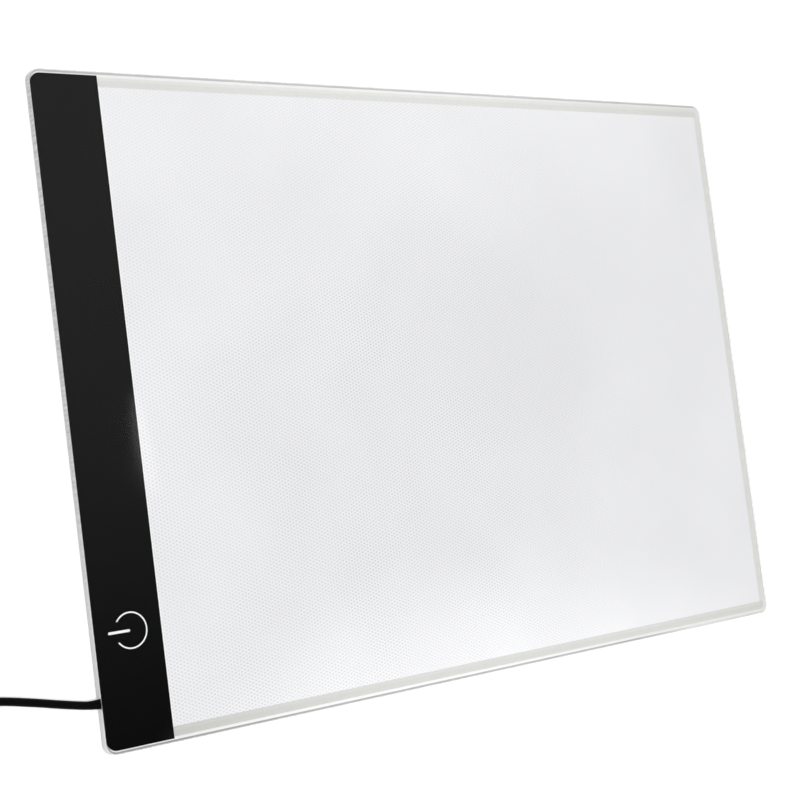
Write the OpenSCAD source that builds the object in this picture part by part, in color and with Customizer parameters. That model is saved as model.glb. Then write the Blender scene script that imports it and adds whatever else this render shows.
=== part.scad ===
// Tracing light pad: a thin edge-lit panel with a black touch band, a lead and its plug.
// It lies flat on its back cover. The origin is the middle of the underside, X runs along the
// long side with the black band at its -X end, and Z points up, out of the lit face.

/* [Pad] */
// Length of the pad along its long side
pad_l = 335; // [250:1:450]
// Width of the pad along its short side
pad_w = 235; // [180:1:320]
// Radius of the pad's corners
corner_r = 4; // [2:0.5:8]

/* [Layers] */
// Thickness of the back cover
back_t = 0.6; // [0.4:0.1:1.5]
// Thickness of the reflector sheet
reflector_t = 0.1; // [0.05:0.05:0.3]
// Thickness of the light guide
guide_t = 2; // [1.8:0.1:4]
// Thickness of the films under the top sheet
film_t = 0.1; // [0.05:0.05:0.3]
// Thickness of the clear top sheet
top_t = 0.7; // [0.5:0.1:2]

/* [Face] */
// Width of the black band
band_w = 26; // [24:0.5:40]
// Clear rim outside the films
rim_w = 1.3; // [0.5:0.1:3]
// Clear rim outside the short side of the black band
band_rim_w = 0.3; // [0.1:0.1:1]
// Width of the plain margin on each long side, with its rim
side_margin_w = 5.4; // [4:0.1:12]
// Width of the plain margin at the end away from the band, with its rim
end_margin_w = 4; // [3.5:0.1:12]

/* [Power symbol] */
// Distance of the symbol from the band's short side
symbol_x = 14.2; // [12:0.1:16]
// Distance of the symbol from the pad's lower long side
symbol_y = 40.4; // [38:0.1:80]
// Radius of the ring at the middle of its stroke
ring_r = 6.1; // [4:0.1:7]
// Stroke of the ring
ring_stroke = 0.5; // [0.5:0.1:1.5]
// Angle of the gap in the ring
ring_gap = 71; // [40:1:100]
// Length of the bar with its round ends
bar_l = 8.3; // [5:0.1:9]
// Stroke of the bar
bar_stroke = 0.9; // [0.6:0.1:2]
// How far the bar stays short of the middle of the ring
bar_short = 0.3; // [0:0.1:2]
// Clearance between the symbol and the film round it
symbol_fit = 0.03; // [0.01:0.01:0.1]

/* [Electronics bay] */
// Width of the spacer frame round the bay
frame_w = 3; // [2:0.5:5]
// How far the light guide reaches under the band
guide_overlap = 3.5; // [1:0.5:4]
// Clearance between the pieces in the bay
bay_gap = 0.5; // [0.2:0.1:1]
// Thickness of both circuit boards
board_t = 0.8; // [0.6:0.1:1]
// Thickness of the tape under the boards
tape_t = 0.1; // [0.05:0.05:0.2]
// Width of the lamp board
led_board_w = 3; // [2.6:0.1:4]
// Number of lamps
led_count = 36; // [12:1:40]
// Length of a lamp
led_l = 3; // [2:0.1:4]
// Depth of a lamp
led_depth = 1.2; // [0.8:0.1:1.4]
// Height of a lamp
led_h = 0.9; // [0.6:0.1:1]
// Clearance between the lamps and the light guide
led_gap = 0.2; // [0.1:0.1:0.5]
// Radius of the touch electrode
electrode_r = 4; // [2:0.5:4.5]
// Thickness of the touch electrode
electrode_t = 0.1; // [0.05:0.05:0.2]
// Length of the control board below the electrode
board_tail_l = 12; // [8:0.5:14]
// Distance between the rows of parts on the control board
row_step = 6; // [5.5:0.1:8]
// Distance between the small parts in a row
part_step = 3; // [2.4:0.1:3.4]
// Distance of a row's middle from the control board's edge
part_inset = 4; // [3.8:0.1:4.5]
// Height of the chips
chip_h = 0.9; // [0.6:0.1:1]
// Diameter of the hook-up wires
wire_d = 0.9; // [0.5:0.1:1.1]
// Bend radius of the supply wires
wire_bend_r = 1.5; // [1:0.1:2.5]
// Distance between the two supply wires
wire_step = 1.6; // [1.2:0.1:2]
// Length of wire on a solder pad
solder_l = 1.5; // [1:0.1:3]

/* [Lead] */
// Diameter of the lead
cord_d = 2.8; // [2:0.1:3.2]
// Distance of the lead from the pad's lower long side
cord_y = 17.7; // [12:0.1:19]
// Height of the lead's underside above the table
cord_lift = 0.1; // [0:0.05:0.3]
// Width of the strain relief where it leaves the pad
gland_w = 3.4; // [3:0.1:6]
// Wall of the strain relief round the lead
gland_wall = 0.1; // [0.1:0.05:0.5]
// Length of the strain relief outside the pad
gland_nose_l = 3.5; // [2:0.5:8]
// Width of the strain relief's flange inside the bay
flange_w = 7; // [6.5:0.1:9]
// Thickness of that flange
flange_t = 1.5; // [1:0.1:2]
// Clearance round the strain relief in its notch
gland_fit = 0.1; // [0.05:0.05:0.3]

/* [Coil] */
// Diameter of the coil at the middle of its turns
coil_d = 28; // [26:0.5:34]
// Turns in each layer of the coil
layer_turns = 4; // [2:1:4]
// Clearance between neighbouring turns
turn_gap = 0.5; // [0.45:0.05:0.8]
// Length of the lead between the coil and the plug
tail_l = 42; // [30:1:80]
// Width of the tie
tie_w = 4; // [2:0.5:5]
// Thickness of the tie
tie_t = 0.5; // [0.4:0.1:1]
// Clearance between the tie and the coil
tie_gap = 0.3; // [0.2:0.05:0.5]

/* [Plug] */
// Width of the plug's body
plug_w = 15; // [13:0.5:18]
// Height of the plug's body
plug_h = 8; // [6:0.5:10]
// Length of the plug's body
plug_l = 22; // [16:1:30]
// Edge radius of the plug's body
plug_r = 2; // [1:0.25:2.5]
// Length of the plug's strain relief
relief_l = 9; // [6:0.5:14]
// Diameter of that strain relief at the body
relief_d = 5.6; // [4.5:0.1:6]
// Wall of that strain relief at the lead
relief_wall = 0.4; // [0.3:0.1:1]
// Width of the plug's metal shell
shell_w = 12; // [11.5:0.1:12.2]
// Height of the plug's metal shell
shell_h = 4.5; // [4.2:0.1:4.8]
// Length of the plug's metal shell
shell_l = 12; // [10:0.5:19]
// Wall of the plug's metal shell
shell_wall = 0.3; // [0.2:0.05:0.5]
// Thickness of the plug's tongue
tongue_t = 1.7; // [1.4:0.1:1.8]
// How far the tongue stays behind the shell's mouth
tongue_back = 1; // [0.5:0.1:3]
// Clearance round the tongue in the shell
tongue_fit = 0.1; // [0.05:0.05:0.2]

/* [Hidden] */
$fn = 64;

// Heights of the layers, from the table up
guide_z = back_t + reflector_t;
film_z = guide_z + guide_t;
top_z = film_z + film_t;
bay_h = film_z - back_t;

// Ends and sides of the pad, and the lines that the face is divided by
left = -pad_l / 2;
right = pad_l / 2;
low = -pad_w / 2;
high = pad_w / 2;
band_x = left + band_w;
guide_x = band_x - guide_overlap;

// Lamp board, with the lamps at its edge next to the light guide
board_z = back_t + tape_t;
board_top = board_z + board_t;
led_x1 = guide_x - led_gap;
led_x0 = led_x1 - led_board_w;
led_board_l = pad_w - 2 * (frame_w + bay_gap);
led_pitch = led_board_l / led_count;

// Control board, under the touch key, with a row of chips and a row of small parts above the electrode
key_x = left + symbol_x;
key_y = low + symbol_y;
chip_y = key_y + electrode_r + row_step;
parts_y = chip_y + row_step;
control_x0 = left + frame_w + bay_gap;
control_x1 = led_x0 - bay_gap;
control_y0 = key_y - electrode_r - board_tail_l;
control_y1 = parts_y + 2 * part_step + 2 * wire_step;
wire_z = board_top + wire_d / 2;

// Standard packages: sizes along X, Y and Z
chip_size = [3.9, 4.9, chip_h];
chip_legs = [-1.905, -0.635, 0.635, 1.905];
transistor_size = [1.3, 2.9, chip_h];
transistor_legs = [-0.95, 0.95];
capacitor_size = [1.25, 2, 0.8];
resistor_size = [0.8, 1.6, 0.45];
leg_size = [1, 0.4, 0.3];
leg_reach = 0.7;

// The lead leaves the strain relief along -X. Its route is counted from there.
cord_line = low + cord_y;
cord_z = cord_d / 2 + cord_lift;
exit = [left - gland_nose_l, cord_line, cord_z];
coil_rise = tie_t + tie_gap + cord_d / 2 - cord_z;
route = [
    [0, 0, 0], [-1, 0, 0], [-2.5, 0.3, 0], [-4, 0.7, 0], [-6, 1.2, 0], [-8, 1.7, 0], [-10, 2.2, 0],
    [-14, 3.2, 0], [-18, 4.2, 0], [-22, 5.1, 0], [-26, 6, 0], [-30, 6.8, 0], [-34, 7.4, 0.1],
    [-38, 7.9, 0.3], [-42, 8.1, 0.6], [-46, 8.2, 0.9], [-50, 8.2, 1], [-54, 8.2, 1], [-57, 8.2, 1]
];
cord_path = [for (p = route) exit + [p[0], p[1], p[2] * coil_rise]];

// The coil winds in and out through four layers and then runs down to the plug
layers = 4;
cord_sides = 8;
coil_sides = 6;
loop_rings = 24;
turn_pitch = cord_d + turn_gap;
coil_turns = layers * layer_turns;
coil_out = coil_d / 2 + turn_pitch * layer_turns / 2;
coil_start = cord_path[len(cord_path) - 1];
lead_in = turn_pitch;
coil_centre = coil_start + [-lead_in, coil_out, 0];
coil_end = coil_turns + 1 / 4;
tail_straight = 2 * turn_pitch;
plug_z = plug_h / 2;
tail_start = coil_point(coil_end);
plug_pos = [tail_start[0], tail_start[1] + tail_l, plug_z];

// Inside the plug, along its axis and across it: shell, its windows, tongue and standard contacts
shell_z = relief_l + plug_l;
window_w = 2.2;
window_l = 2.5;
window_x = 2.6;
window_z = 4;
tongue_y = shell_h / 2 - shell_wall - tongue_fit - tongue_t;
contact_x = [-3.5, -1, 1, 3.5];
contact_w = 1;
contact_t = 0.12;

function unit(v) = v / norm(v);
function ease(u) = (1 - cos(180 * min(max(u, 0), 1))) / 2;

// Turns wound inwards after t turns, and layers climbed, each in the half turn where the spiral reverses
function turns_in(t) =
    t > coil_turns ? coil_turns - t : layer_turns - abs(t % (2 * layer_turns) - layer_turns);
function climbed(t, k = 1) =
    k == layers ? 0 : ease(2 * (t - k * layer_turns) + 1 / 2) + climbed(t, k + 1);
function coil_radius(t) = coil_out - turn_pitch * turns_in(t);
function coil_point(t) =
    coil_centre + [-coil_radius(t) * sin(360 * t), -coil_radius(t) * cos(360 * t), turn_pitch * climbed(t)];
function tail_point(s) =
    [tail_start[0], tail_start[1] + s,
     tail_start[2] + (plug_z - tail_start[2]) * ease((s - tail_straight) / (tail_l - 2 * tail_straight))];
coil_path = concat(
    [coil_start, coil_start - [lead_in / 2, 0, 0]],
    [for (i = [0 : loop_rings * coil_end]) coil_point(i / loop_rings)],
    [for (s = [tail_straight / 2 : tail_straight / 2 : tail_l]) tail_point(s)]
);
function least_gap(path, d, skip) =
    min([for (i = [0 : len(path) - 1 - skip], j = [i + skip : len(path) - 1]) norm(path[i] - path[j]) - d]);

// One ring of a tube, square to the path, and the tube through all of them
function heading(path, i) = unit(path[min(i + 1, len(path) - 1)] - path[max(i - 1, 0)]);
function tube_ring(path, i, d, sides) =
    let (ahead = heading(path, i), side = unit(cross([0, 0, 1], ahead)), up = cross(ahead, side))
    [for (k = [0 : sides - 1]) path[i] + d / 2 * (cos(360 * k / sides) * side + sin(360 * k / sides) * up)];

module tube(path, d, sides) {
    last = (len(path) - 1) * sides;
    points = [for (i = [0 : len(path) - 1]) each tube_ring(path, i, d, sides)];
    walls = [
        for (i = [0 : len(path) - 2], k = [0 : sides - 1])
            let (a = i * sides + k, b = i * sides + (k + 1) % sides)
            each [[a, a + sides, b + sides], [a, b + sides, b]]
    ];
    near_cap = [for (k = [1 : sides - 2]) [0, k, k + 1]];
    far_cap = [for (k = [1 : sides - 2]) [last, last + k + 1, last + k]];
    polyhedron(points, concat(walls, near_cap, far_cap));
}

module rounded_rect(l, w, r) {
    square([l - 2 * r, w], center = true);
    square([l, w - 2 * r], center = true);
    for (sx = [-1, 1], sy = [-1, 1])
        translate([sx * (l / 2 - r), sy * (w / 2 - r)]) circle(r);
}

// A slice of the pad from one height up, as wide as the whole outline
module pad_slice(z, h) {
    translate([0, 0, z]) linear_extrude(h) rounded_rect(pad_l, pad_w, corner_r);
}

// A box between two corners
module box(low_corner, high_corner) {
    translate(low_corner) cube(high_corner - low_corner);
}

// A film under the top sheet, between two places along X and two along Y, inside the rim
module film(x0, x1, y0, y1) {
    intersection() {
        translate([0, 0, film_z])
            linear_extrude(film_t) rounded_rect(pad_l - 2 * rim_w, pad_w - 2 * rim_w, corner_r - rim_w / 2);
        box([x0, y0, film_z], [x1, y1, top_z]);
    }
}

// The ring and the bar of the power symbol, with the gap and the bar towards the short side
module symbol_shape(grow) {
    gap = ring_gap - 2 * atan(grow / ring_r);
    half_stroke = bar_stroke / 2 + grow;
    bar_run = bar_l - bar_stroke;
    rotate(gap / 2 - 180)
        rotate_extrude(angle = 360 - gap)
            translate([ring_r - ring_stroke / 2 - grow, 0]) square([ring_stroke + 2 * grow, film_t]);
    translate([-bar_short - bar_stroke / 2, 0, 0])
        linear_extrude(film_t) {
            translate([-bar_run, -half_stroke]) square([bar_run, 2 * half_stroke]);
            circle(half_stroke);
            translate([-bar_run, 0]) circle(half_stroke);
        }
}

// A small part on legs that stand on the control board, two rows of legs along Y
module legged_part(at, size, left_legs, right_legs) {
    foot = leg_size[2] / 2;
    translate([at[0], at[1], board_top]) {
        translate([-size[0] / 2, -size[1] / 2, foot]) cube([size[0], size[1], size[2] - foot]);
        for (y = left_legs)
            translate([-size[0] / 2 - leg_reach, y - leg_size[1] / 2, 0]) cube(leg_size);
        for (y = right_legs)
            translate([size[0] / 2 + leg_reach - leg_size[0], y - leg_size[1] / 2, 0]) cube(leg_size);
    }
}

// A two-ended part that lies on the control board, with raised ends
module chip_part(at, size) {
    end_l = size[1] / 5;
    lip = size[2] / 20;
    translate([at[0], at[1], board_top]) {
        translate([-size[0] / 2 + lip, -size[1] / 2, 0]) cube([size[0] - 2 * lip, size[1], size[2] - lip]);
        for (y = [-size[1] / 2, size[1] / 2 - end_l])
            translate([-size[0] / 2, y, 0]) cube([size[0], end_l, size[2]]);
    }
}

// A supply wire: out of the strain relief along X, round a bend and on to the control board
module supply_wire(offset, run) {
    start = [left + frame_w + flange_t, cord_line + offset, wire_z];
    reach = control_y0 + solder_l - start[1] - wire_bend_r;
    translate(start) {
        rotate([0, 90, 0]) cylinder(h = run, d = wire_d);
        translate([run, wire_bend_r, 0])
            rotate(-90) rotate_extrude(angle = 90) translate([wire_bend_r, 0]) circle(d = wire_d);
        translate([run + wire_bend_r, wire_bend_r, 0]) rotate([-90, 0, 0]) cylinder(h = reach, d = wire_d);
    }
}

// The plug's own frame: its axis along +Y, from the end of the lead
module plug_place() {
    translate(plug_pos) rotate([-90, 0, 0]) children();
}

module back_cover() {
    color("whitesmoke")
        difference() {
            pad_slice(0, back_t);
            box([left - 1, cord_line - gland_w / 2 - gland_fit, -1],
                [left + frame_w + gland_fit, cord_line + gland_w / 2 + gland_fit, back_t + 1]);
        }
}

module reflector_sheet() {
    color("white")
        intersection() {
            pad_slice(back_t, reflector_t);
            box([guide_x, low, back_t], [right, high, guide_z]);
        }
}

module light_guide() {
    color([0.93, 0.95, 0.96])
        intersection() {
            pad_slice(guide_z, guide_t);
            box([guide_x, low, guide_z], [right, high, film_z]);
        }
}

// A strip of the bay's frame between two places along Y, on either side of the strain relief
module bay_spacer(y0, y1) {
    color([0.85, 0.87, 0.88])
        difference() {
            intersection() {
                pad_slice(back_t, bay_h);
                box([left, y0, back_t], [guide_x, y1, film_z]);
            }
            box([left + frame_w, low + frame_w, back_t - 1], [guide_x + 1, high - frame_w, film_z + 1]);
        }
}

module bay_spacer_upper() {
    bay_spacer(cord_line + gland_w / 2 + gland_fit, high);
}

module bay_spacer_lower() {
    bay_spacer(low, cord_line - gland_w / 2 - gland_fit);
}

module led_board_tape() {
    color("lightyellow") box([led_x0, -led_board_l / 2, back_t], [led_x1, led_board_l / 2, board_z]);
}

module led_board() {
    color("white") box([led_x0, -led_board_l / 2, board_z], [led_x1, led_board_l / 2, board_top]);
}

module leds() {
    color("gold")
        for (i = [0 : led_count - 1])
            translate([led_x1 - led_depth, (i - (led_count - 1) / 2) * led_pitch - led_l / 2, board_top])
                cube([led_depth, led_l, led_h]);
}

module control_board_tape() {
    color("lightyellow") box([control_x0, control_y0, back_t], [control_x1, control_y1, board_z]);
}

module control_board() {
    color("darkgreen") box([control_x0, control_y0, board_z], [control_x1, control_y1, board_top]);
}

module touch_electrode() {
    color("orange") translate([key_x, key_y, board_top]) cylinder(h = electrode_t, r = electrode_r);
}

module touch_chip() {
    color("dimgray") legged_part([control_x0 + part_inset, chip_y], chip_size, chip_legs, chip_legs);
}

module power_transistor() {
    color("dimgray") legged_part([control_x1 - part_inset, chip_y], transistor_size, [0], transistor_legs);
}

module capacitors() {
    color("tan")
        for (side = [-1, 1])
            chip_part([control_x0 + part_inset + side * part_step / 2, parts_y], capacitor_size);
}

module resistors() {
    color("black")
        for (i = [-1 : 1], j = [0, 1])
            chip_part([control_x1 - part_inset + i * part_step, parts_y + j * part_step], resistor_size);
}

module supply_wire_red() {
    color("red") supply_wire(wire_step / 2, wire_step);
}

module supply_wire_black() {
    color("black") supply_wire(-wire_step / 2, 2 * wire_step);
}

module link_wires() {
    reach = led_x0 - control_x1 + solder_l;
    color("white")
        for (y = [1, 2] * wire_step)
            translate([control_x1 - solder_l / 2, control_y1 - y, wire_z])
                rotate([0, 90, 0]) cylinder(h = reach, d = wire_d);
}

module diffuser_sheet() {
    color("white") film(band_x, right - end_margin_w, low + side_margin_w, high - side_margin_w);
}

module edge_tape_top() {
    color("gainsboro") film(band_x, right, high - side_margin_w, high);
}

module edge_tape_bottom() {
    color("gainsboro") film(band_x, right, low, low + side_margin_w);
}

module edge_tape_right() {
    color("gainsboro") film(right - end_margin_w, right, low + side_margin_w, high - side_margin_w);
}

module black_band() {
    color([0.06, 0.06, 0.06])
        difference() {
            intersection() {
                translate([0, 0, film_z])
                    linear_extrude(film_t) rounded_rect(pad_l - 2 * band_rim_w, pad_w - 2 * rim_w, corner_r);
                box([left, low, film_z], [band_x, high, top_z]);
            }
            translate([key_x, key_y, film_z]) symbol_shape(symbol_fit);
        }
}

module power_symbol() {
    color("white") translate([key_x, key_y, film_z]) symbol_shape(0);
}

module top_sheet() {
    color([0.9, 0.95, 1, 0.3]) pad_slice(top_z, top_t);
}

module strain_relief() {
    color([0.08, 0.08, 0.08]) {
        intersection() {
            translate([left, cord_line, cord_z])
                rotate([0, -90, 0]) cylinder(h = gland_nose_l, d1 = gland_w, d2 = cord_d + 2 * gland_wall);
            box([exit[0], cord_line - gland_w, 0], [left, cord_line + gland_w, cord_z + gland_w]);
        }
        box([left, cord_line - gland_w / 2, 0], [left + frame_w, cord_line + gland_w / 2, film_z]);
        box([left + frame_w, cord_line - flange_w / 2, back_t],
            [left + frame_w + flange_t, cord_line + flange_w / 2, film_z]);
    }
}

module usb_cord() {
    color([0.06, 0.06, 0.06]) tube(cord_path, cord_d, cord_sides);
}

module cord_coil() {
    echo(least_gap_between_turns = least_gap(coil_path, cord_d, loop_rings / 2));
    color([0.06, 0.06, 0.06]) tube(coil_path, cord_d, coil_sides);
}

module cord_tie() {
    // The strap goes round all the turns at the side of the coil towards +Y
    radial = [coil_radius(layer_turns - 1 / 2), coil_radius(1 / 2)];
    bow = radial[0] - sqrt(pow(radial[0], 2) - pow(tie_w / 2, 2));
    inner_y = radial[0] - cord_d / 2 - bow - tie_gap;
    outer_y = radial[1] + cord_d / 2 + tie_gap;
    inner_h = (layers - 1) * turn_pitch + cord_d + 2 * tie_gap;
    mid = [coil_centre[0] - tie_w / 2, coil_centre[1] + (inner_y + outer_y) / 2, tie_t + inner_h / 2];
    color("dimgray")
        translate(mid)
            rotate([90, 0, 90])
                linear_extrude(tie_w)
                    difference() {
                        rounded_rect(outer_y - inner_y + 2 * tie_t, inner_h + 2 * tie_t, 2 * tie_t);
                        rounded_rect(outer_y - inner_y, inner_h, tie_t);
                    }
}

module plug_body() {
    color([0.08, 0.08, 0.08])
        plug_place() {
            cylinder(h = relief_l, d1 = cord_d + 2 * relief_wall, d2 = relief_d);
            translate([0, 0, relief_l]) linear_extrude(plug_l) rounded_rect(plug_w, plug_h, plug_r);
        }
}

module plug_shell() {
    color("silver")
        plug_place()
            translate([0, 0, shell_z])
                difference() {
                    linear_extrude(shell_l)
                        difference() {
                            rounded_rect(shell_w, shell_h, 2 * shell_wall);
                            rounded_rect(shell_w - 2 * shell_wall, shell_h - 2 * shell_wall, shell_wall);
                        }
                    for (side = [-1, 1])
                        translate([side * window_x - window_w / 2, -shell_h, window_z])
                            cube([window_w, 2 * shell_h, window_l]);
                }
}

module plug_tongue() {
    tongue_w = shell_w - 2 * shell_wall - 2 * tongue_fit;
    color("white")
        plug_place()
            translate([-tongue_w / 2, tongue_y, shell_z]) cube([tongue_w, tongue_t, shell_l - tongue_back]);
}

module plug_contacts() {
    color("gold")
        plug_place()
            for (x = contact_x)
                translate([x - contact_w / 2, tongue_y - contact_t, shell_z])
                    cube([contact_w, contact_t, shell_l - 2 * tongue_back]);
}

back_cover();
reflector_sheet();
light_guide();
bay_spacer_upper();
bay_spacer_lower();
led_board_tape();
led_board();
leds();
control_board_tape();
control_board();
touch_electrode();
touch_chip();
power_transistor();
capacitors();
resistors();
supply_wire_red();
supply_wire_black();
link_wires();
diffuser_sheet();
edge_tape_top();
edge_tape_bottom();
edge_tape_right();
black_band();
power_symbol();
top_sheet();
strain_relief();
usb_cord();
cord_coil();
cord_tie();
plug_body();
plug_shell();
plug_tongue();
plug_contacts();
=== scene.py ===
"""Looks of the tracing light pad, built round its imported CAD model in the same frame, in metres."""
import math

import bmesh
import bpy
from mathutils import Matrix, Vector


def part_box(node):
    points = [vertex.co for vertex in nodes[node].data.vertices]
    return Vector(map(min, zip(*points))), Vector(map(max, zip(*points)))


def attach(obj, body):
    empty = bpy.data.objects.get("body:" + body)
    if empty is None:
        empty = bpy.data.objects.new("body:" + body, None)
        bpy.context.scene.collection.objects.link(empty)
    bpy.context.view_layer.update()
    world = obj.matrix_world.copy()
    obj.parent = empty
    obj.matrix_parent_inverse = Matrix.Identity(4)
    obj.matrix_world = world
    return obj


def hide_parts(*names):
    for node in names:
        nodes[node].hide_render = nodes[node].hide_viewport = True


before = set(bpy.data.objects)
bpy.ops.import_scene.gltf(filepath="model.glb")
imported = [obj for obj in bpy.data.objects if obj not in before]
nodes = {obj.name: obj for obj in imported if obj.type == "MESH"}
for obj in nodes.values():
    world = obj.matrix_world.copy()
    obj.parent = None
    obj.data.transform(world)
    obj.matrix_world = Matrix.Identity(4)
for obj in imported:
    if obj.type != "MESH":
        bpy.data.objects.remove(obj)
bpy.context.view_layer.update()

MM = 0.001
TO_MM = 1000

# Camera, fitted to the four edges of the pad
CAMERA_AT = (-0.418367, -0.040591, 0.515877)
CAMERA_RIGHT = (0.792224, -0.125229, 0.597243)
CAMERA_UP = (0.068228, 0.990757, 0.117239)
CAMERA_BACK = (-0.606404, -0.052131, 0.793446)
FOCAL_PX, FRAME_PX, SENSOR_MM = 1661.32, 800, 36
SHIFT_PX = 0.5
CLIP_NEAR, CLIP_FAR = 0.01, 50

camera = bpy.data.objects.new("camera", bpy.data.cameras.new("camera"))
camera.data.sensor_width = SENSOR_MM
camera.data.lens = SENSOR_MM * FOCAL_PX / FRAME_PX
camera.data.clip_start, camera.data.clip_end = CLIP_NEAR, CLIP_FAR
camera.data.shift_x, camera.data.shift_y = -SHIFT_PX / FRAME_PX, SHIFT_PX / FRAME_PX
turn = Matrix((CAMERA_RIGHT, CAMERA_UP, CAMERA_BACK)).transposed().to_4x4()
camera.matrix_world = Matrix.Translation(CAMERA_AT) @ turn
bpy.context.scene.collection.objects.link(camera)
bpy.context.scene.camera = camera

# The lead: its route from the strain relief, then the coil and the run to the plug, as in the solids
CORD_D = 0.0028
CORD_BEVEL_STEPS = 6
EXIT = Vector((-0.171, -0.09962, 0.0015))
COIL_RISE = 0.0007
ROUTE = (  # x and y from the exit, and the share of the coil's rise
    (0, 0, 0), (-0.001, 0.00013, 0), (-0.0025, 0.0004, 0), (-0.004, 0.00072, 0),
    (-0.006, 0.00116, 0), (-0.008, 0.00161, 0), (-0.01, 0.00207, 0), (-0.014, 0.00303, 0),
    (-0.018, 0.00402, 0), (-0.022, 0.00492, 0), (-0.026, 0.00582, 0), (-0.03, 0.00662, 0),
    (-0.034, 0.00722, 0.1), (-0.038, 0.00772, 0.3), (-0.042, 0.00792, 0.6), (-0.046, 0.00802, 0.9),
    (-0.05, 0.00802, 1), (-0.054, 0.00802, 1), (-0.057, 0.00802, 1),
)
LAYERS, LAYER_TURNS = 4, 4
TURN_PITCH = 0.0033
COIL_OUT = 0.0206
COIL_TURNS = LAYERS * LAYER_TURNS
COIL_END = COIL_TURNS + 1 / 4
CLIMB_TURNS = 1 / 2
LOOP_POINTS = 48
TAIL_STRAIGHT, TAIL_L, TAIL_STEP = 0.0066, 0.042, 0.0015
PLUG_Z = 0.004


def ease(u):
    """From 0 to 1 as u does, level at both ends."""
    return (1 - math.cos(math.pi * min(max(u, 0), 1))) / 2


def coil_radius(t):
    """Radius of the coil after t turns: each layer winds in or out, and the last quarter runs on outside."""
    if t > COIL_TURNS:
        turns_in = COIL_TURNS - t
    else:
        turns_in = LAYER_TURNS - abs(t % (2 * LAYER_TURNS) - LAYER_TURNS)
    return COIL_OUT - TURN_PITCH * turns_in


def coil_point(t):
    """Place on the coil after t turns. The lead climbs a layer over CLIMB_TURNS."""
    climbed = sum(ease((t - k * LAYER_TURNS) / CLIMB_TURNS + 1 / 2) for k in range(1, LAYERS))
    r, a = coil_radius(t), 2 * math.pi * t
    return coil_centre + Vector((-r * math.sin(a), -r * math.cos(a), TURN_PITCH * climbed))


def tail_point(s):
    """Place on the run to the plug, s past the coil. Between its level ends it drops to the plug's height."""
    drop = ease((s - TAIL_STRAIGHT) / (TAIL_L - 2 * TAIL_STRAIGHT))
    return tail_start + Vector((0, s, (PLUG_Z - tail_start.z) * drop))


def obj_in_scene(name, data):
    obj = bpy.data.objects.new(name, data)
    bpy.context.scene.collection.objects.link(obj)
    return obj


route = [EXIT + Vector((x, y, rise * COIL_RISE)) for x, y, rise in ROUTE]
coil_start = route[-1]
coil_centre = coil_start + Vector((-TURN_PITCH, COIL_OUT, 0))
tail_start = coil_point(COIL_END)
plug_at = tail_point(TAIL_L)
cord_points = (
    route
    + [coil_start - Vector((TURN_PITCH / 2, 0, 0))]
    + [coil_point(i / LOOP_POINTS) for i in range(int(LOOP_POINTS * COIL_END) + 1)]
    + [tail_point(i * TAIL_STEP) for i in range(1, round(TAIL_L / TAIL_STEP) + 1)]
)

curve = bpy.data.curves.new("usb_lead", "CURVE")
curve.dimensions = "3D"
curve.bevel_depth = CORD_D / 2
curve.bevel_resolution = CORD_BEVEL_STEPS
curve.use_fill_caps = True
spline = curve.splines.new("POLY")
spline.points.add(len(cord_points) - 1)
for point, at in zip(spline.points, cord_points):
    point.co = (*at, 1)
spline.use_smooth = True
lead = obj_in_scene("usb_lead", curve)


# Meshes
def rounded_ring(a, b, r, steps=6):
    """Points of a rounded rectangle with half sides a and b, anticlockwise from its +X side."""
    points = []
    for k, (sx, sy) in enumerate(((1, 1), (-1, 1), (-1, -1), (1, -1))):
        for i in range(steps + 1):
            angle = math.pi / 2 * (k + i / steps)
            points.append((sx * (a - r) + r * math.cos(angle), sy * (b - r) + r * math.sin(angle)))
    return points


def loft(name, rings, closed=False, smooth=40):
    """A mesh through rings of points: capped flat at both ends, or joined end to end.
    Edges that turn by more than smooth degrees stay sharp."""
    mesh = bpy.data.meshes.new(name)
    bm = bmesh.new()
    loops = [[bm.verts.new(p) for p in ring] for ring in rings]
    pairs = list(zip(loops, loops[1:])) + ([(loops[-1], loops[0])] if closed else [])
    for low, high in pairs:
        for i in range(len(low)):
            j = (i + 1) % len(low)
            bm.faces.new((low[i], low[j], high[j], high[i]))
    if not closed:
        bm.faces.new(loops[0][::-1])
        bm.faces.new(loops[-1])
    bmesh.ops.recalc_face_normals(bm, faces=bm.faces)
    bm.to_mesh(mesh)
    bm.free()
    mesh.shade_smooth()
    mesh.set_sharp_from_angle(angle=math.radians(smooth))
    for face in mesh.polygons:
        face.use_smooth = len(face.vertices) == 4
    return obj_in_scene(name, mesh)


# Clear top sheet, with a small polished round along both edges, and a little clear of what lies under it
PAD_L, PAD_W, CORNER_R = 0.335, 0.235, 0.004
SHEET_LIFT = 0.00002
SHEET_ROUND = 0.00022
ROUND_STEPS, CORNER_STEPS = 4, 12
CLEAR_SLOT, SAWN_SLOT = 0, 1
STEEPEST_CLEAR = 0.3
sheet_low, sheet_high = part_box("top_sheet")
sheet_low.z += SHEET_LIFT


def sheet_ring(inset, z):
    outline = rounded_ring(PAD_L / 2 - inset, PAD_W / 2 - inset, CORNER_R - inset, CORNER_STEPS)
    return [(x, y, z) for x, y in outline]


low_rings = []
high_rings = []
for i in range(ROUND_STEPS + 1):
    angle = math.pi / 2 * i / ROUND_STEPS
    from_side = SHEET_ROUND * (1 - math.sin(angle))
    from_face = SHEET_ROUND * (1 - math.cos(angle))
    low_rings.append(sheet_ring(from_side, sheet_low.z + from_face))
    high_rings.append(sheet_ring(from_face, sheet_high.z - from_side))
sheet = loft("clear_top_sheet", low_rings + high_rings, smooth=50)
for face in sheet.data.polygons:
    face.material_index = CLEAR_SLOT if abs(face.normal.z) > STEEPEST_CLEAR else SAWN_SLOT

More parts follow.
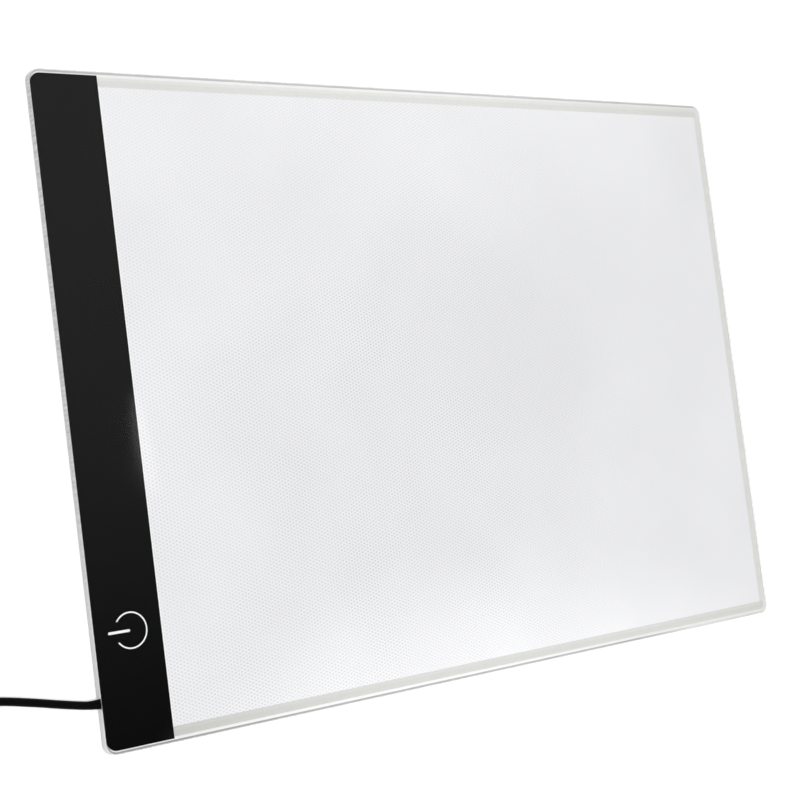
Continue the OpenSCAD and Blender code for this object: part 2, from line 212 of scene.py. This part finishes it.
# Strain relief at the pad: a tapered nose with two shallow grooves, and its neck in the notch
NOSE = (  # in mm: distance outside the pad's edge, half width, half height, height of the middle
    (3.5, 1.42, 1.42, 1.5), (3.42, 1.47, 1.46, 1.5), (2.9, 1.51, 1.49, 1.5), (2.75, 1.43, 1.42, 1.5),
    (2.55, 1.43, 1.42, 1.5), (2.4, 1.53, 1.49, 1.5), (1.9, 1.56, 1.49, 1.5), (1.75, 1.46, 1.43, 1.5),
    (1.55, 1.46, 1.43, 1.5), (1.4, 1.6, 1.54, 1.55), (0.5, 1.66, 1.58, 1.59), (0.02, 1.69, 1.59, 1.6),
    (0.01, 1.65, 1.33, 1.35), (-3, 1.65, 1.33, 1.35),
)
NOSE_BEND = 0.00018
NOSE_ROUND = 0.98
pad_edge = -PAD_L / 2
nose_l = NOSE[0][0]
nose_rings = []
for out, half_w, half_h, mid in NOSE:
    ring = rounded_ring(half_w * MM, half_h * MM, min(half_w, half_h) * NOSE_ROUND * MM)
    bend = NOSE_BEND * (1 - (max(out, 0) / nose_l) ** 2)
    nose_rings.append([(pad_edge - out * MM, EXIT.y - bend + y, mid * MM + z) for y, z in ring])
relief = loft("strain_relief_nose", nose_rings)

# Moulded plug body: ribbed relief, rounded shoulders, grip grooves and a chamfered front.
# A section is its place along the axis, half width, half height and corner radius, in mm. The ribs' profile
# gives a place in their pitch and a step from their radius, and the grooves' profile a place and a section.
RIBS, RIB_START, RIB_PITCH = 4, 1.2, 1.75
RIB_R, RIB_GROWTH = 1.88, 0.2
RIB_PROFILE = ((0, -0.4), (0.5, -0.4), (0.6, 0), (1.65, 0.12))
GRIP, GRIP_FLOOR = (7.5, 4, 2), (7.25, 3.72, 1.85)
GROOVES, GROOVE_START, GROOVE_PITCH = 5, 15.4, 2
GROOVE_PROFILE = ((0, GRIP), (0.3, GRIP_FLOOR), (0.9, GRIP_FLOOR), (1.2, GRIP))
PLUG_ROUND = 0.999

plug_sections = [(0, 1.5, 1.5, 1.5), (0.15, 1.7, 1.7, 1.7), (1.1, 1.85, 1.85, 1.85)]
for rib in range(RIBS):
    start = RIB_START + rib * RIB_PITCH
    outer = RIB_R + RIB_GROWTH * (rib + 0.5)
    for along, step in RIB_PROFILE:
        plug_sections.append((start + along, outer + step, outer + step, outer + step))
plug_sections += [
    (8.6, 2.7, 2.7, 2.7), (9.0, 4.6, 2.75, 2.7), (9.15, 6.2, 3.0, 2.2), (9.5, 6.9, 3.5, 2),
    (10.2, 7.3, 3.82, 2), (11.2, *GRIP), (15.2, *GRIP),
]
for groove in range(GROOVES):
    start = GROOVE_START + groove * GROOVE_PITCH
    plug_sections += [(start + along, *section) for along, section in GROOVE_PROFILE]
plug_sections += [(30.2, *GRIP), (30.75, 7.35, 3.85, 1.9), (31, 7, 3.5, 1.7)]
plug_rings = []
for along, half_w, half_h, r in plug_sections:
    ring = rounded_ring(half_w, half_h, r * PLUG_ROUND)
    plug_rings.append([(plug_at.x + x * MM, plug_at.y + along * MM, plug_at.z + z * MM) for x, z in ring])
plug = loft("plug_overmould", plug_rings, smooth=32)

# Twist tie round the coil: a flat strap with a wire core, and its twisted ends
TIE_T, TIE_CORNER_R, TIE_CORNER_STEPS = 0.0005, 0.0016, 10
STRAP = (  # the strap's section in mm: across it, and out from its middle
    (-2, 0), (-1.85, 0.14), (-0.5, 0.16), (-0.2, 0.25), (0.2, 0.25), (0.5, 0.16), (1.85, 0.14),
    (2, 0), (1.85, -0.14), (0.5, -0.16), (0.2, -0.25), (-0.2, -0.25), (-0.5, -0.16), (-1.85, -0.14),
)
tie_low, tie_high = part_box("cord_tie")
tie_mid = (tie_low + tie_high) / 2
half_y = (tie_high.y - tie_low.y) / 2 - TIE_T / 2
half_z = (tie_high.z - tie_low.z) / 2 - TIE_T / 2
loop = rounded_ring(half_y, half_z, TIE_CORNER_R, TIE_CORNER_STEPS)
tie_rings = []
for i, (y, z) in enumerate(loop):
    (y0, z0), (y1, z1) = loop[i - 1], loop[(i + 1) % len(loop)]
    out = Vector((z1 - z0, y0 - y1)).normalized()
    tie_rings.append([
        (tie_mid.x + side * MM, tie_mid.y + y + out.x * lift * MM, tie_mid.z + z + out.y * lift * MM)
        for side, lift in STRAP
    ])
tie = loft("twist_tie", tie_rings, closed=True)

TWIST_L, TWIST_TURNS, TWIST_STEPS = 0.009, 2.5, 40
TWIST_START_Z, TWIST_END_Z, TWIST_LEAN = 0.0048, 0.0016, 0.001
TWIST_HALF_W, TWIST_HALF_T, TWIST_CORNER_R, TWIST_CORNER_STEPS = 1.5, 0.38, 0.36, 4
TWIST_NARROWS, TWIST_POWER = 0.4, 8
twist_start = Vector((tie_mid.x, tie_high.y - TIE_T / 2, TWIST_START_Z))
twist_end = Vector((tie_mid.x + TWIST_LEAN, tie_high.y + TWIST_L, TWIST_END_Z))
twist_rings = []
for i in range(TWIST_STEPS + 1):
    u = i / TWIST_STEPS
    spin = 2 * math.pi * TWIST_TURNS * u
    half_w = TWIST_HALF_W - TWIST_NARROWS * math.cos(math.pi * u) ** TWIST_POWER
    middle = twist_start.lerp(twist_end, u)
    ring = []
    for x, z in rounded_ring(half_w, TWIST_HALF_T, TWIST_CORNER_R, TWIST_CORNER_STEPS):
        turned_x = x * math.cos(spin) - z * math.sin(spin)
        turned_z = x * math.sin(spin) + z * math.cos(spin)
        ring.append(middle + Vector((turned_x * MM, 0, turned_z * MM)))
    twist_rings.append(ring)
twist = loft("twist_tie_ends", twist_rings)
twist.parent = tie

# Materials. Places on the pad are in mm: x from the band's end to the far end, y from the lead's side up.
# A noise lies mostly in the ranges named here, and the MIX numbers are a Mix node's sockets for colours.
WHITE = (1, 1, 1, 1)
ACRYLIC_IOR = 1.49
MOST_NOISE, WIDE_NOISE = (0.35, 0.65), (0.3, 0.7)
ROUGHNESS_SPREAD = 0.06
SAW_DEPTH, GRAIN_DEPTH = 0.00002, 0.00001
# The pale cut tone is painted light, laid on the cut edge at the lower corner of the band's end.
CUT_FACE, PAINTED_LIGHT_CUT = (0.72, 0.73, 0.73), (0.95, 0.95, 0.94)
# Along x, the painted light on the rim lines fades from the band's end towards the far end.
PAINTED_FALLOFF_X = (-20.0, 110.0)
MIX_A, MIX_B, MIX_RESULT = 6, 7, 2


def rgba(colour):
    """Three numbers with an alpha of 1. A socket stays as it is."""
    return (*colour, 1) if isinstance(colour, tuple) else colour


def shaded(colour, times):
    return tuple(min(1, c * times) for c in colour)


class Tree:
    """The nodes of a material or a world, with short calls for the ones used here.
    A value is a socket or a number."""

    def __init__(self, name, blocks=bpy.data.materials, output="OutputMaterial"):
        self.owner = blocks.new(name)
        self.owner.use_nodes = True
        self.tree = self.owner.node_tree
        self.tree.nodes.clear()
        self.out = self.node(output)

    def node(self, kind, **settings):
        made = self.tree.nodes.new("ShaderNode" + kind)
        for key, value in settings.items():
            setattr(made, key, value)
        return made

    def put(self, value, socket):
        if isinstance(value, bpy.types.NodeSocket):
            self.tree.links.new(value, socket)
        elif value is not None:
            socket.default_value = value

    def output_of(self, kind, **inputs):
        """First output of a new node, with its inputs filled by name."""
        n = self.node(kind)
        for key, value in inputs.items():
            self.put(value, n.inputs[key.replace("_", " ")])
        return n.outputs[0]

    def math(self, operation, a, b):
        n = self.node("Math", operation=operation)
        self.put(a, n.inputs[0])
        self.put(b, n.inputs[1])
        return n.outputs[0]

    def vector(self, operation, a, b=None, output="Vector"):
        n = self.node("VectorMath", operation=operation)
        self.put(a, n.inputs[0])
        self.put(b, n.inputs[1])
        return n.outputs[output]

    def length(self, vector):
        return self.vector("LENGTH", vector, output="Value")

    def split(self, vector):
        """X, Y and Z of a vector."""
        n = self.node("SeparateXYZ")
        self.put(vector, n.inputs[0])
        return n.outputs

    def place(self, scale=(1, 1, 1)):
        """Place on the object, in metres times scale."""
        return self.vector("MULTIPLY", self.node("TexCoord").outputs["Object"], scale)

    def axes(self):
        """Place on the object along X, Y and Z, in mm."""
        return self.split(self.place((TO_MM, TO_MM, TO_MM)))

    def backfacing(self):
        return self.node("NewGeometry").outputs["Backfacing"]

    def noise(self, scale, detail=3, roughness=0.5, stretch=(1, 1, 1)):
        return self.output_of(
            "TexNoise", Vector=self.place(stretch), Scale=scale, Detail=detail, Roughness=roughness,
        )

    def ranged(self, value, low, high, to_low=0.0, to_high=1.0, smooth=False):
        n = self.node("MapRange", interpolation_type="SMOOTHSTEP" if smooth else "LINEAR")
        for socket, v in zip(n.inputs, (value, low, high, to_low, to_high)):
            self.put(v, socket)
        return n.outputs[0]

    def mix(self, share, a, b, blend="MIX"):
        n = self.node("Mix", data_type="RGBA", blend_type=blend)
        self.put(share, n.inputs[0])
        self.put(rgba(a), n.inputs[MIX_A])
        self.put(rgba(b), n.inputs[MIX_B])
        return n.outputs[MIX_RESULT]

    def bump(self, height, depth, strength=1.0):
        return self.output_of("Bump", Height=height, Distance=depth, Strength=strength)

    def principled(self, colour, roughness, normal=None, **sockets):
        return self.output_of(
            "BsdfPrincipled", Base_Color=rgba(colour), Roughness=roughness, Normal=normal, **sockets,
        )

    def mix_shaders(self, share, first, second):
        n = self.node("MixShader")
        for socket, value in zip(n.inputs, (share, first, second)):
            self.put(value, socket)
        return n.outputs[0]

    def finish(self, shader):
        self.tree.links.new(shader, self.out.inputs["Surface"])
        return self.owner

    def edge_distance(self):
        """Distance inside the pad's rounded outline, in mm."""
        half = (PAD_L / MM / 2 - CORNER_R / MM, PAD_W / MM / 2 - CORNER_R / MM, 0)
        past = self.vector("SUBTRACT", self.vector("ABSOLUTE", self.place((TO_MM, TO_MM, 0))), half)
        past_x, past_y, _ = self.split(past)
        round_part = self.length(self.vector("MAXIMUM", past, (0, 0, 0)))
        straight_part = self.math("MINIMUM", self.math("MAXIMUM", past_x, past_y), 0.0)
        return self.math("SUBTRACT", CORNER_R / MM, self.math("ADD", round_part, straight_part))

    def painted_light_low_end(self):
        """Painted light on the cut edge: palest at the lower corner of the band's end, less up along that
        end.
        """
        x, y, _ = self.axes()
        along = self.ranged(y, -100.0, 20.0, 1.0, 0.0, smooth=True)
        return self.math("MULTIPLY", along, self.ranged(x, -166.0, -160.0, 0.85, 0.0))

    def saw_marks(self):
        """Fine upright marks of the saw along a cut edge, from 0 to 1."""
        return self.ranged(self.noise(900, 4, 0.6, (1, 1, 0.08)), *MOST_NOISE)

    def dots(self, pitch, half, soft):
        """A staggered field of oval dots, 1 inside a dot. The pitch and the half size are (x, y) in mm,
        and soft is the share of the half size over which a dot's edge fades."""
        cell = self.place((TO_MM / pitch[0], TO_MM / pitch[1], 0))
        halves = (pitch[0] / half[0], pitch[1] / half[1], 0)
        near = []
        for shift in ((0, 0, 0), (0.5, 0.5, 0)):
            part = self.vector("FRACTION", self.vector("ADD", cell, shift))
            offset = self.vector("MULTIPLY", self.vector("SUBTRACT", part, (0.5, 0.5, 0)), halves)
            near.append(self.length(offset))
        return self.ranged(self.math("MINIMUM", *near), 1.0 - soft, 1.0 + soft, 1.0, 0.0, smooth=True)


def plain(name, light, dark, scale, roughness, grain=GRAIN_DEPTH, **sockets):
    """A plain surface with a faint mottle of two tones and a fine grain. The scale is per metre."""
    patches_finer, grain_finer = 3, 12
    t = Tree(name)
    mottle = t.noise(scale)
    rough_ends = (roughness - ROUGHNESS_SPREAD, roughness + ROUGHNESS_SPREAD)
    rough = t.ranged(t.noise(scale * patches_finer), *WIDE_NOISE, *rough_ends)
    normal = t.bump(t.noise(scale * grain_finer, 2), grain)
    return t.finish(t.principled(t.mix(mottle, dark, light), rough, normal, **sockets))


def acrylic(name, body):
    """Clear plate on white, seen through its rim: sawn side, dark line, bright line, and then the body.
    The dark line is painted shade and the bright line a painted highlight. Both are paler low down, and their
    painted light fades towards the far end."""
    side_end, line_end, bright_end = (0.2, 0.32), (0.85, 1.0), (1.9, 2.1)
    t = Tree(name)
    d = t.edge_distance()
    x, y, _ = t.axes()
    saw = t.saw_marks()
    side = t.mix(saw, shaded(CUT_FACE, 0.8), shaded(CUT_FACE, 1.15))
    # painted light: the cut edge paler at the lower corner of the band's end
    side = t.mix(t.painted_light_low_end(), side, PAINTED_LIGHT_CUT)
    speck = t.noise(120)
    # painted shade: the dark line at the rim, paler low down and at the far end
    line = t.mix(speck, (0.27, 0.27, 0.26), (0.4, 0.4, 0.39))
    pale_line = t.mix(speck, (0.46, 0.46, 0.45), (0.58, 0.58, 0.57))
    lower = t.ranged(y, -80.0, 80.0, 1.0, 0.0, smooth=True)
    line = t.mix(lower, pale_line, line)
    lower_far = t.math("MULTIPLY", lower, t.ranged(x, 80.0, 125.0, smooth=True))
    line = t.mix(lower_far, line, (0.7, 0.7, 0.68))
    # painted highlight: the bright line at the rim, fading towards the far end
    bright = t.mix(t.ranged(x, *PAINTED_FALLOFF_X, smooth=True), (0.91, 0.91, 0.9), (0.83, 0.83, 0.82))
    far_end = t.ranged(x, 163.5, 165.3, smooth=True)
    line = t.mix(far_end, line, (0.76, 0.76, 0.74))
    bright = t.mix(far_end, bright, (0.78, 0.78, 0.76))
    colour = t.mix(t.ranged(d, *side_end, smooth=True), side, line)
    colour = t.mix(t.ranged(d, *line_end, smooth=True), colour, bright)
    colour = t.mix(t.ranged(d, *bright_end, smooth=True), colour, body)
    normal = t.bump(saw, SAW_DEPTH, 0.5)
    return t.finish(t.principled(colour, 0.35, normal, IOR=ACRYLIC_IOR))


def tape(name, painted_rims, outer, inner, step, painted_shades=(1.0, 1.0)):
    """Margin tape: its outer edge, a painted highlight, then one tone up to step mm from the outline and
    another beyond it.
    The edge's painted highlight, and a painted shade over the whole tape, go from their values at the band to
    those at the far end."""
    rim_end, step_soft, painted_shade_x = (1.8, 2.1), 0.25, (40.0, 160.0)
    t = Tree(name)
    d = t.edge_distance()
    x = t.axes()[0]
    fibre = t.noise(500, 4, 0.6)
    tone = t.mix(t.ranged(d, step - step_soft, step + step_soft, smooth=True), outer, inner)
    # painted highlight along the tape's outer edge, fading along x
    rim = t.mix(t.ranged(x, *PAINTED_FALLOFF_X, smooth=True), *painted_rims)
    tone = t.mix(t.ranged(d, *rim_end, smooth=True), rim, tone)
    # a random fibre mottle times a painted shade that changes along x
    shade = t.math("MULTIPLY", t.ranged(fibre, *MOST_NOISE, 0.97, 1.0), t.ranged(x, *painted_shade_x, *painted_shades))
    colour = t.mix(1, tone, shade, blend="MULTIPLY")
    return t.finish(t.principled(colour, 0.55, t.bump(fibre, GRAIN_DEPTH)))


def diffuser():
    """Milky film over the guide's dots: a staggered field of faint grey dots that fades away from the lamps.
    A painted shade darkens the film round one spot, and a painted glow of leaking light runs along the band's
    edge."""
    pitch, half, soft = (2.66, 1.31), (0.48, 0.31), 0.36
    painted_shade_at, painted_shade_reach, leak_x = (50, 12, 0), (10.0, 75.0), (-141.4, -140.8)
    dark, light, painted_shade_tone = (0.855, 0.855, 0.868), (0.893, 0.893, 0.906), (0.835, 0.835, 0.85)
    grey, painted_leak_white = (0.62, 0.62, 0.635), (0.98, 0.98, 0.97)
    t = Tree("diffuser_dots")
    x, y, _ = t.axes()
    dot = t.dots(pitch, half, soft)
    far = t.ranged(x, -40.0, 130.0, 0.82, 0.12, smooth=True)
    near = t.ranged(x, -140.0, -40.0, 0.72, 1.0, smooth=True)
    high = t.ranged(y, -10.0, 100.0, 1.0, t.ranged(x, -60.0, 30.0, 0.42, 0.72), smooth=True)
    patch = t.ranged(t.noise(24, 2), *MOST_NOISE, 0.7, 1.1)
    shown = t.math("MULTIPLY", t.math("MULTIPLY", t.math("MULTIPLY", far, near), high), patch)
    field = t.mix(t.ranged(t.noise(18, 2, 0.45), *WIDE_NOISE), dark, light)
    # painted shade: the film darker round one spot
    from_painted_shade = t.length(t.vector("SUBTRACT", t.place((TO_MM, TO_MM, 0)), painted_shade_at))
    field = t.mix(t.ranged(from_painted_shade, *painted_shade_reach, 0.9, 0.0, smooth=True), field, painted_shade_tone)
    dotted = t.mix(t.math("MULTIPLY", dot, shown), field, grey)
    # painted glow: light leaking along the band's edge
    leak = t.ranged(x, *leak_x, 1.0, 0.0, smooth=True)
    colour = t.mix(leak, dotted, painted_leak_white)
    return t.finish(t.principled(colour, 0.5, t.bump(dot, GRAIN_DEPTH, 0.3)))


def clear_sheet():
    """Clear acrylic: what lies under it shows through, and its upper face mirrors the room."""
    t = Tree("clear_acrylic")
    facing = t.math("SUBTRACT", 1.0, t.backfacing())
    mirror = t.math("MULTIPLY", t.output_of("Fresnel", IOR=ACRYLIC_IOR), facing)
    roughness = t.ranged(t.noise(30, 4, 0.6), *MOST_NOISE, 0.025, 0.05)
    through = t.output_of("BsdfTransparent", Color=(0.995, 0.9955, 0.9955, 1))
    gloss = t.output_of("BsdfGlossy", Color=WHITE, Roughness=roughness)
    return t.finish(t.mix_shaders(mirror, through, gloss))


def sawn_edge():
    """Frosted cut edge of the clear sheet. From inside the sheet, some of the room shows through it."""
    shows_through = 0.6
    t = Tree("sawn_acrylic_edge")
    saw = t.saw_marks()
    colour = t.mix(saw, (0.55, 0.56, 0.56), (0.8, 0.81, 0.81))
    # painted light: the cut edge paler at the lower corner of the band's end
    colour = t.mix(t.painted_light_low_end(), colour, PAINTED_LIGHT_CUT)
    frost = t.principled(colour, 0.4, t.bump(saw, SAW_DEPTH, 0.6), IOR=ACRYLIC_IOR)
    through = t.output_of("BsdfTransparent")
    return t.finish(t.mix_shaders(t.math("MULTIPLY", t.backfacing(), shows_through), frost, through))


def brushed_metal(name, colour, roughness, stretch):
    """Metal with fine lines that lie along the axis in which stretch is small."""
    line_depth = 0.000002
    t = Tree(name)
    lines = t.noise(2500, 3, 0.6, stretch)
    tone = t.mix(lines, shaded(colour, 0.93), colour)
    rough = t.ranged(lines, *WIDE_NOISE, roughness - ROUGHNESS_SPREAD, roughness + ROUGHNESS_SPREAD)
    return t.finish(t.principled(tone, rough, t.bump(lines, line_depth, 0.4), Metallic=1.0))


def board(name, mask, track):
    """Solder mask over copper tracks, which run in steps along the board."""
    track_height = 0.00003
    t = Tree(name)
    brick = t.node("TexBrick")
    t.put(t.place((1, 1, 0)), brick.inputs["Vector"])
    for key, value in (("Scale", 400), ("Mortar Size", 0.08), ("Brick Width", 1.6), ("Row Height", 0.7)):
        brick.inputs[key].default_value = value
    tracks = brick.outputs["Fac"]
    return t.finish(t.principled(t.mix(tracks, mask, track), 0.35, t.bump(tracks, track_height)))


def lamp_face():
    """White lamp package with its yellow window towards the light guide."""
    t = Tree("lamp_package")
    towards_guide = t.split(t.node("NewGeometry").outputs["Normal"])[0]
    window = t.ranged(towards_guide, 0.5, 0.9, smooth=True)
    package = t.mix(t.noise(2000), (0.8, 0.8, 0.78), (0.88, 0.88, 0.86))
    return t.finish(t.principled(t.mix(window, package, (0.9, 0.72, 0.15)), 0.4))


looks = {
    "back_cover": plain("matte_white_sheet", (0.84, 0.84, 0.83), (0.8, 0.8, 0.79), 60, 0.5),
    "reflector_sheet": plain("white_reflector_film", (0.95, 0.95, 0.95), (0.92, 0.92, 0.92), 80, 0.5),
    "light_guide": acrylic("light_guide_acrylic", (0.9, 0.91, 0.92)),
    "bay_spacer_upper": acrylic("spacer_acrylic", (0.78, 0.79, 0.79)),
    "led_board_tape": plain("double_sided_tape", (0.85, 0.82, 0.7), (0.78, 0.75, 0.62), 300, 0.6),
    "led_board": board("white_solder_mask", (0.86, 0.86, 0.84), (0.78, 0.78, 0.74)),
    "leds": lamp_face(),
    "control_board": board("green_solder_mask", (0.03, 0.2, 0.07), (0.06, 0.3, 0.1)),
    "touch_electrode": brushed_metal("bare_copper", (0.85, 0.48, 0.3), 0.35, (1, 0.05, 1)),
    "touch_chip": plain("black_package", (0.03, 0.03, 0.03), (0.02, 0.02, 0.02), 900, 0.55),
    "capacitors": plain("fired_ceramic", (0.6, 0.48, 0.34), (0.5, 0.4, 0.28), 1500, 0.5),
    "resistors": plain("black_glaze", (0.05, 0.05, 0.05), (0.03, 0.03, 0.03), 1500, 0.3),
    "supply_wire_red": plain("red_insulation", (0.6, 0.04, 0.03), (0.5, 0.03, 0.02), 600, 0.4),
    "supply_wire_black": plain("black_insulation", (0.03, 0.03, 0.03), (0.02, 0.02, 0.02), 600, 0.4),
    "link_wires": plain("white_insulation", (0.85, 0.85, 0.83), (0.78, 0.78, 0.76), 600, 0.4),
    "diffuser_sheet": diffuser(),
    # In the edge tapes, the first pair of tones is a painted highlight and the closing pair of numbers a
    # painted shade, at the band and at the far end.
    "edge_tape_top": tape(
        "margin_tape_top", ((0.89, 0.89, 0.88), (0.84, 0.84, 0.83)),
        (0.79, 0.79, 0.77), (0.74, 0.74, 0.72), 3.1, (1.01, 0.97),
    ),
    "edge_tape_bottom": tape(
        "margin_tape_bottom", ((0.94, 0.94, 0.93), (0.79, 0.79, 0.78)),
        (0.655, 0.655, 0.63), (0.695, 0.695, 0.67), 4.0, (0.925, 1.06),
    ),
    "edge_tape_right": tape(
        "margin_tape_right", ((0.78, 0.775, 0.755), (0.78, 0.775, 0.755)),
        (0.775, 0.77, 0.75), (0.765, 0.76, 0.74), 2.5,
    ),
    "black_band": plain(
        "gloss_black_film", (0.0026, 0.0028, 0.0028), (0.0018, 0.002, 0.002), 300, 0.5,
        Specular_IOR_Level=0.0,
    ),
    "power_symbol": plain("white_screen_print", (0.97, 0.97, 0.97), (0.93, 0.93, 0.93), 800, 0.5),
    "plug_shell": brushed_metal("nickel_plate", (0.76, 0.75, 0.72), 0.4, (1, 0.04, 1)),
    "plug_tongue": plain("white_insulator", (0.85, 0.85, 0.83), (0.8, 0.8, 0.78), 900, 0.4),
    "plug_contacts": brushed_metal("gold_contacts", (0.95, 0.68, 0.3), 0.22, (1, 0.05, 1)),
}
for same, first in (
    ("bay_spacer_lower", "bay_spacer_upper"),
    ("control_board_tape", "led_board_tape"),
    ("power_transistor", "touch_chip"),
):
    looks[same] = looks[first]
for name, look in looks.items():
    nodes[name].data.materials.clear()
    nodes[name].data.materials.append(look)

jacket = plain(
    "black_jacket", (0.003, 0.003, 0.003), (0.0015, 0.0015, 0.0015), 700, 0.5,
    grain=0.00002, Specular_IOR_Level=0.06,
)
overmould = plain(
    "black_overmould", (0.022, 0.022, 0.022), (0.015, 0.015, 0.015), 1200, 0.5, grain=0.00004,
)
tie_skin = plain("tie_plastic", (0.05, 0.05, 0.05), (0.035, 0.035, 0.035), 900, 0.35, grain=0.00002)
for piece, materials in (
    (lead, [jacket]),
    (sheet, [clear_sheet(), sawn_edge()]),
    (relief, [jacket]),
    (plug, [overmould]),
    (tie, [tie_skin]),
    (twist, [tie_skin]),
):
    for material in materials:
        piece.data.materials.append(material)

# What each piece rides on and stands for
for piece, slot, replaced in (
    (lead, "cord_jacket", ("usb_cord", "cord_coil")),
    (sheet, "clear_sheet", ("top_sheet",)),
    (relief, "cord_jacket", ("strain_relief",)),
    (plug, "plug_body", ("plug_body",)),
    (tie, "tie", ("cord_tie",)),
):
    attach(piece, "root")
    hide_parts(*replaced)

# Floor, white to the camera and in mirrors, with the pad's shadow kept. From below it is clear, and the pale
# world under it lights the underside.
FLOOR_HALF, FLOOR_Z = 12, -0.0002
FLOOR_COLOUR = (0.86, 0.86, 0.86, 1)
GLOW_REACH, GLOW = (0.4, 3.0), (0.25, 0.8)
corners = [(x * FLOOR_HALF, y * FLOOR_HALF, FLOOR_Z) for x, y in ((-1, -1), (1, -1), (1, 1), (-1, 1))]
floor_mesh = bpy.data.meshes.new("floor")
floor_mesh.from_pydata(corners, [], [(0, 1, 2, 3)])
floor = obj_in_scene("floor", floor_mesh)
t = Tree("pale_floor")
rays = t.node("LightPath").outputs
mirrored = t.math("MAXIMUM", rays["Is Glossy Ray"], rays["Is Transmission Ray"])
seen = t.math("MAXIMUM", rays["Is Camera Ray"], mirrored)
reach = t.length(t.place((1, 1, 0)))
glow = t.math("MULTIPLY", seen, t.ranged(reach, *GLOW_REACH, *GLOW))
lit = t.node("AddShader")
t.put(t.output_of("BsdfDiffuse", Color=FLOOR_COLOUR), lit.inputs[0])
t.put(t.output_of("Emission", Strength=glow), lit.inputs[1])
below = t.output_of("BsdfTransparent", Color=WHITE)
floor.data.materials.append(t.finish(t.mix_shaders(t.backfacing(), lit.outputs[0], below)))
floor.visible_diffuse = False
floor.visible_shadow = False

# Studio light: a pale horizon, a dim ceiling with soft panels in it, and a large lamp overhead that no gloss
# mirrors. Heights in the world are sines of the elevation.
HORIZON_TO_CEILING, WORLD_LIGHT = (0.1, 0.5), (0.8, 0.032)
BACKDROP_TOP = 0.2
PANELS = (  # azimuth, elevation, inner and outer half angle, strength, width over height
    (55, 55, 12, 38, 0.385, 1),
    (-25, 47.5, 9, 15, 3.7, 1),
    (27, 45.5, 5, 11.5, 1.15, 1),
    (0, 90, 6, 24, 0.5, 1),
    (5.2, 61.4, 0, 2.3, 1.5, 6),
)
w = Tree("studio", bpy.data.worlds, "OutputWorld")
direction = w.vector("NORMALIZE", w.node("TexCoord").outputs["Generated"])
height = w.split(direction)[2]


def soft_panel(azimuth, elevation, inner, outer, strength, flat):
    """A soft panel in the studio's ceiling, with angles in degrees. Azimuth 0 is +X and 90 is +Y.
    It is flat times as wide as it is high."""
    a, e = math.radians(azimuth), math.radians(elevation)
    towards = (math.cos(a) * math.cos(e), math.sin(a) * math.cos(e), math.sin(e))
    up = Vector((-math.cos(a) * math.sin(e), -math.sin(a) * math.sin(e), math.cos(e)))
    above = w.vector("DOT_PRODUCT", direction, up, output="Value")
    squeeze = w.vector("MULTIPLY", above, up * (flat - 1))
    squeezed = w.vector("NORMALIZE", w.vector("ADD", direction, squeeze))
    near = w.vector("DOT_PRODUCT", squeezed, towards, output="Value")
    edge, full = math.cos(math.radians(outer)), math.cos(math.radians(inner))
    return w.ranged(near, edge, full, 0.0, strength, smooth=True)


radiance = w.ranged(height, *HORIZON_TO_CEILING, *WORLD_LIGHT, smooth=True)
for panel in PANELS:
    radiance = w.math("ADD", radiance, soft_panel(*panel))
# The white backdrop shows to the camera all round, and in metal and glass along the horizon
paths = w.node("LightPath").outputs
mirrored = w.math("MAXIMUM", paths["Is Glossy Ray"], paths["Is Transmission Ray"])
backdrop = w.math("MULTIPLY", mirrored, w.ranged(height, 0.0, BACKDROP_TOP, 1.0, 0.0, smooth=True))
radiance = w.math("MAXIMUM", radiance, w.math("MAXIMUM", paths["Is Camera Ray"], backdrop))
bpy.context.scene.world = w.finish(w.output_of("Background", Color=WHITE, Strength=radiance))

LAMP_SIZE, LAMP_POWER, LAMP_AT = 1.6, 46.7, (-0.5, -0.1, 2.4)
lamp = bpy.data.lights.new("overhead_lamp", "AREA")
lamp.shape = "SQUARE"
lamp.size = LAMP_SIZE
lamp.energy = LAMP_POWER
overhead = obj_in_scene("overhead_lamp", lamp)
overhead.visible_glossy = False
overhead.location = LAMP_AT
overhead.rotation_euler = (-overhead.location).to_track_quat("-Z", "Y").to_euler()

bpy.context.scene.view_settings.view_transform = "Standard"
